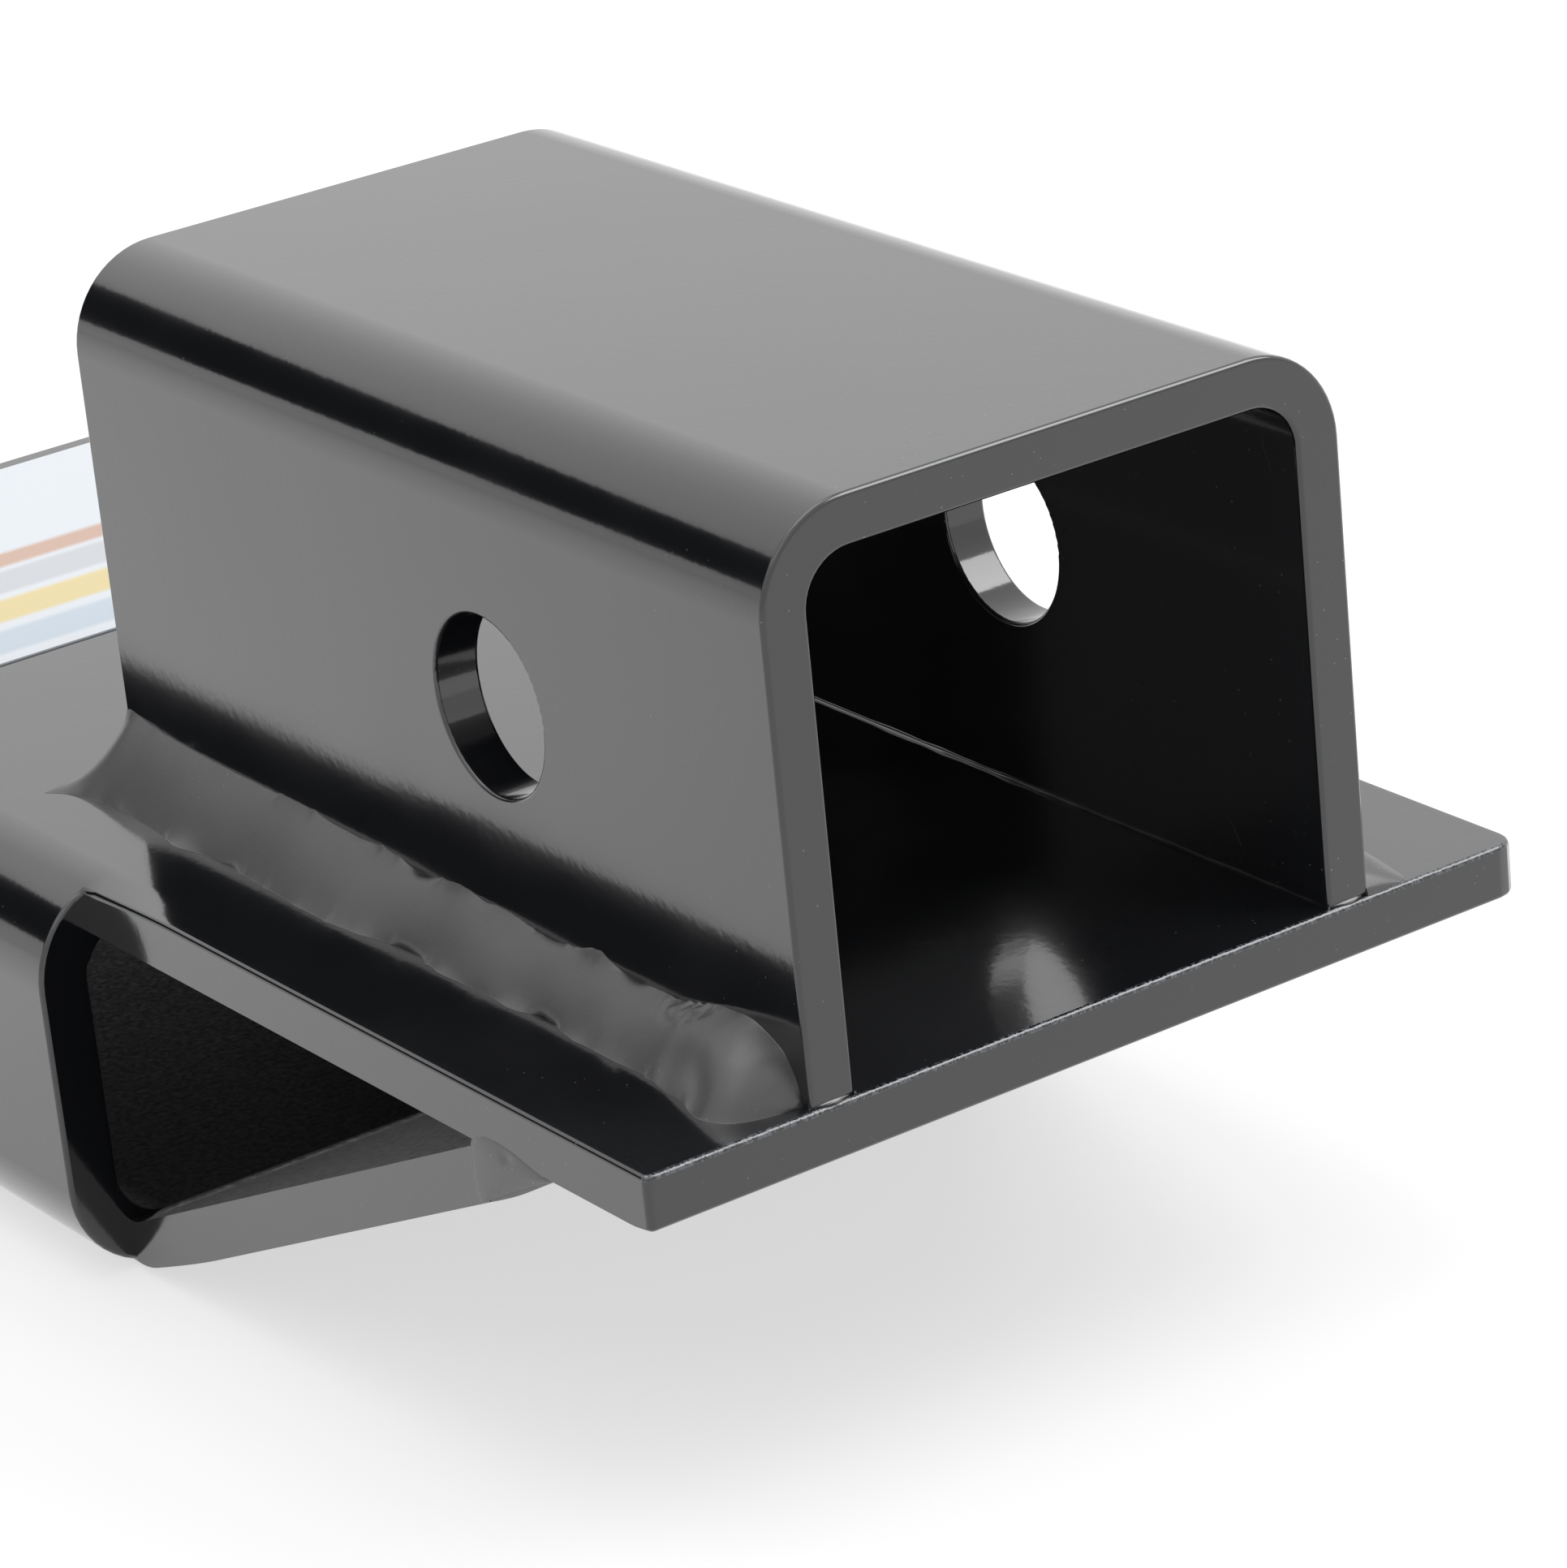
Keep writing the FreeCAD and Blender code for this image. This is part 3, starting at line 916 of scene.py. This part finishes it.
def noseRings():
    settings = noseBead
    half, underZ = settings["halfWidth"], sleeveHigh.z / mm - plateEdges["sleevePlate"]
    count = int(2 * half / settings["step"])
    swayMm, swayHeight = settings["sway"]
    lumpMm, lumpCount, lumpHeight = settings["lumps"]
    forward, down = settings["outward"]
    sunkBack, sunkUp = settings["sunk"]
    back = settings["endY"] + sunkBack
    toe = settings["endY"] - settings["reach"] + settings["sunkToe"]
    low, high = underZ - settings["drop"] + settings["sunkLow"], underZ + sunkUp
    rings = []
    for k in range(count + 1):
        x = -half + 2 * half * k / count
        sway = noise.noise(Vector((x / swayMm, 2.0, 0.0))) * swayHeight
        sway *= min(1.0, (half - abs(x)) / settings["swayFade"])
        ring = []
        for step in range(settings["across"]):
            share = step / (settings["across"] - 1)
            crown = 4 * share * (1 - share)
            lift = settings["bulge"] * crown
            lift += noise.noise(Vector((x / lumpMm, share * lumpCount, 7.0))) * lumpHeight * crown
            y = settings["endY"] - (settings["reach"] + sway) * (1 - share) - lift * forward
            z = underZ - settings["drop"] * share - lift * down
            ring.append((x * mm, y * mm, z * mm))
        ring += [(x * mm, y * mm, z * mm) for y, z in ((back, low), (back, high), (toe, high))]
        rings.append(ring)
    return rings


def noseEndRings(side):
    settings = noseBead
    outline = smoothLoop(settings["endOutline"], settings["endPoints"])
    middleY = sum(y for y, z in outline) / len(outline)
    middleZ = sum(z for y, z in outline) / len(outline)
    (dimpleY, dimpleZ), (halfY, halfZ) = settings["dimple"], settings["dimpleHalf"]
    rings = []
    for share, proud in settings["endLevels"]:
        ring = []
        for y, z in outline:
            y, z = middleY + (y - middleY) * share, middleZ + (z - middleZ) * share
            out = proud
            if proud > 0 and side < 0:
                away = ((y - dimpleY) / halfY) ** 2 + ((z - dimpleZ) / halfZ) ** 2
                out -= settings["dimpleDepth"] * math.exp(-away)
            ring.append((side * (plateEdges["tongueHalf"] + out) * mm, y * mm, z * mm))
        rings.append(ring)
    return rings


def makeNoseBead(material):
    settings = noseBead
    whole = bmesh.new()
    for rings in (noseRings(), noseEndRings(-1), noseEndRings(1)):
        shape = closedStrip(rings)
        part = bpy.data.meshes.new("part")
        shape.to_mesh(part)
        shape.free()
        whole.from_mesh(part)
        bpy.data.meshes.remove(part)
    mesh = meshFrom(whole, "nose_bead", [material], settings["smoothUnder"])
    finishPiece(bpy.data.objects.new("nose_bead", mesh), "nose_weld")


# Coat that ran together in the corners where the receiver stands on the tongue
cornerCoat = {
    "radius": 0.38,
    "uneven": (0.8, 1.2),    # the radius swells and thins between these shares
    "waveMm": 4.0,
    "legSize": (0.2, 1.4),   # under the two legs' ends: at its own ends, and what its middle adds
    "legPower": 0.7,
    "legSetback": 0.3,       # its corner lies this far behind the mouth, so it stays on the tongue
    "legPoints": 14,
    "wall": 5.0,
    "steps": 6,
    "sunk": 0.5,             # share of the radius inside the steel, so that no gap shows
    "spacing": 0.6,
    "smoothUnder": 50,
}


def filletTree():
    # sweeps the section along each path, at the size that the path's points carry
    tree = bpy.data.node_groups.new("coat_fillet", "GeometryNodeTree")
    sockets = {}
    tree.interface.new_socket("Paths", in_out="INPUT", socket_type="NodeSocketGeometry")
    kinds = {"Section": "Object", "Radius": "Float", "Thin": "Float", "Thick": "Float", "Wave": "Float",
             "Spacing": "Float", "Finish": "Material"}
    for name, kind in kinds.items():
        socket = tree.interface.new_socket(name, in_out="INPUT", socket_type="NodeSocket" + kind)
        sockets[name] = socket.identifier
    tree.interface.new_socket("Fillet", in_out="OUTPUT", socket_type="NodeSocketGeometry")
    given = addNode(tree, "NodeGroupInput").outputs
    section = addNode(tree, "GeometryNodeObjectInfo", {"Object": given["Section"]})
    profile = addNode(tree, "GeometryNodeMeshToCurve", {0: section.outputs["Geometry"]})
    path = addNode(tree, "GeometryNodeMeshToCurve", {0: given["Paths"]})
    even = addNode(tree, "GeometryNodeResampleCurve", {"Curve": path.outputs[0],
            "Length": given["Spacing"]}, mode="LENGTH")
    size = addNode(tree, "GeometryNodeInputNamedAttribute", {"Name": "size"}, data_type="FLOAT")
    scale = addNode(tree, "ShaderNodeMath", {0: 1.0, 1: given["Wave"]}, operation="DIVIDE")
    swell = addNode(tree, "ShaderNodeTexNoise", {"Scale": scale.outputs[0], "Detail": 0.0})
    uneven = addNode(tree, "ShaderNodeMapRange", {"Value": swell.outputs[0], "From Min": noiseLow,
            "From Max": noiseHigh, "To Min": given["Thin"],
            "To Max": given["Thick"]})
    grown = addNode(tree, "ShaderNodeMath", {0: size.outputs["Attribute"], 1: uneven.outputs[0]},
                    operation="MULTIPLY")
    radius = addNode(tree, "ShaderNodeMath", {0: grown.outputs[0], 1: given["Radius"]},
                     operation="MULTIPLY")
    strip = addNode(tree, "GeometryNodeCurveToMesh", {"Curve": even.outputs[0], "Fill Caps": True,
            "Profile Curve": profile.outputs[0],
            "Scale": radius.outputs[0]})
    real = addNode(tree, "GeometryNodeRealizeInstances", {0: strip.outputs[0]})
    painted = addNode(tree, "GeometryNodeSetMaterial", {"Geometry": real.outputs[0],
            "Material": given["Finish"]})
    addNode(tree, "NodeGroupOutput", {0: painted.outputs[0]})
    return tree, sockets


def chainObject(name, chains, sizes, closed):
    # points joined one after the other, each with its own size
    points, edges = [], []
    for chain in chains:
        first = len(points)
        points += chain
        edges += [(first + k, first + k + 1) for k in range(len(chain) - 1)]
        if closed:
            edges.append((len(points) - 1, first))
    mesh = bpy.data.meshes.new(name)
    mesh.from_pydata(points, edges, [])
    mesh.attributes.new("size", "FLOAT", "POINT").data.foreach_set("value", sizes)
    chained = bpy.data.objects.new(name, mesh)
    bpy.context.scene.collection.objects.link(chained)
    return chained


def coatPaths():
    # the open side is on the right of each path, as the section is drawn
    settings = cornerCoat
    wall = settings["wall"] * mm
    innerX, last = receiverHigh.x - wall, settings["legPoints"] - 1
    atEnds, more = settings["legSize"]
    swelling = [atEnds + more * max(0.0, math.sin(math.pi * k / last)) ** settings["legPower"]
                for k in range(last + 1)]
    chains, sizes = [], []
    for side in (-1, 1):
        ends = [(side * innerX, y, deckZ) for y in (receiverLow.y, receiverHigh.y)]
        chains.append(ends if side < 0 else ends[::-1])
        lowX = innerX if side > 0 else -receiverHigh.x
        chains.append([(lowX + wall * k / last, receiverLow.y + settings["legSetback"] * mm, deckZ)
                       for k in range(last + 1)])
        sizes += [1.0, 1.0] + swelling
    return chainObject("coat_paths", chains, sizes, False)


def coatSection():
    # a hollow quarter circle of radius 1 with its back in the steel;
    # x points away from the wall and y down
    steps, sunk = cornerCoat["steps"], cornerCoat["sunk"]
    turns = [math.radians(90 * step / steps) for step in range(steps + 1)]
    loop = [(1 - math.sin(turn), math.cos(turn) - 1, 0) for turn in turns]
    loop += [(-sunk, -1, 0), (-sunk, sunk, 0), (1, sunk, 0)]
    return chainObject("coat_section", [loop], [1.0] * len(loop), True)


def makeCornerCoat(material):
    settings = cornerCoat
    paths, section = coatPaths(), coatSection()
    tree, sockets = filletTree()
    sweep = paths.modifiers.new("fillet", "NODES")
    sweep.node_group = tree
    thin, thick = settings["uneven"]
    values = {"Section": section, "Radius": settings["radius"] * mm, "Thin": thin, "Thick": thick,
              "Wave": settings["waveMm"] * mm, "Spacing": settings["spacing"] * mm, "Finish": material}
    for name, value in values.items():
        sweep[sockets[name]] = value
    evaluated = paths.evaluated_get(bpy.context.evaluated_depsgraph_get())
    swept = bpy.data.meshes.new_from_object(evaluated)
    paths.modifiers.remove(sweep)
    shape = bmesh.new()
    shape.from_mesh(swept)
    bmesh.ops.recalc_face_normals(shape, faces=shape.faces)
    for helper in (paths, section):
        bpy.data.objects.remove(helper)
    mesh = meshFrom(shape, "corner_coat", [material], settings["smoothUnder"])
    finishPiece(bpy.data.objects.new("corner_coat", mesh), None)


makeCamera()
makeStudio()
coat = makePowderCoat()
weld = makeWeldCoat()
innerShade = makeInnerCoat(innerShadeCoat)
rampFinish = makeInnerCoat(rampCoat)
film = makeLabelFilm()
print("camera, studio and finishes made")

makeReceiver(coat)
makeSleeve([coat, innerShade, rampFinish])
weldBead(-1, "left_weld", "left_bead", weld)
weldBead(1, "right_weld", "right_bead", weld)
makeNoseBead(weld)
makeCornerCoat(coat)
nodes["label"].data.materials.clear()
nodes["label"].data.materials.append(film)
print("all pieces made")

bpy.context.scene.view_settings.view_transform = "Standard"
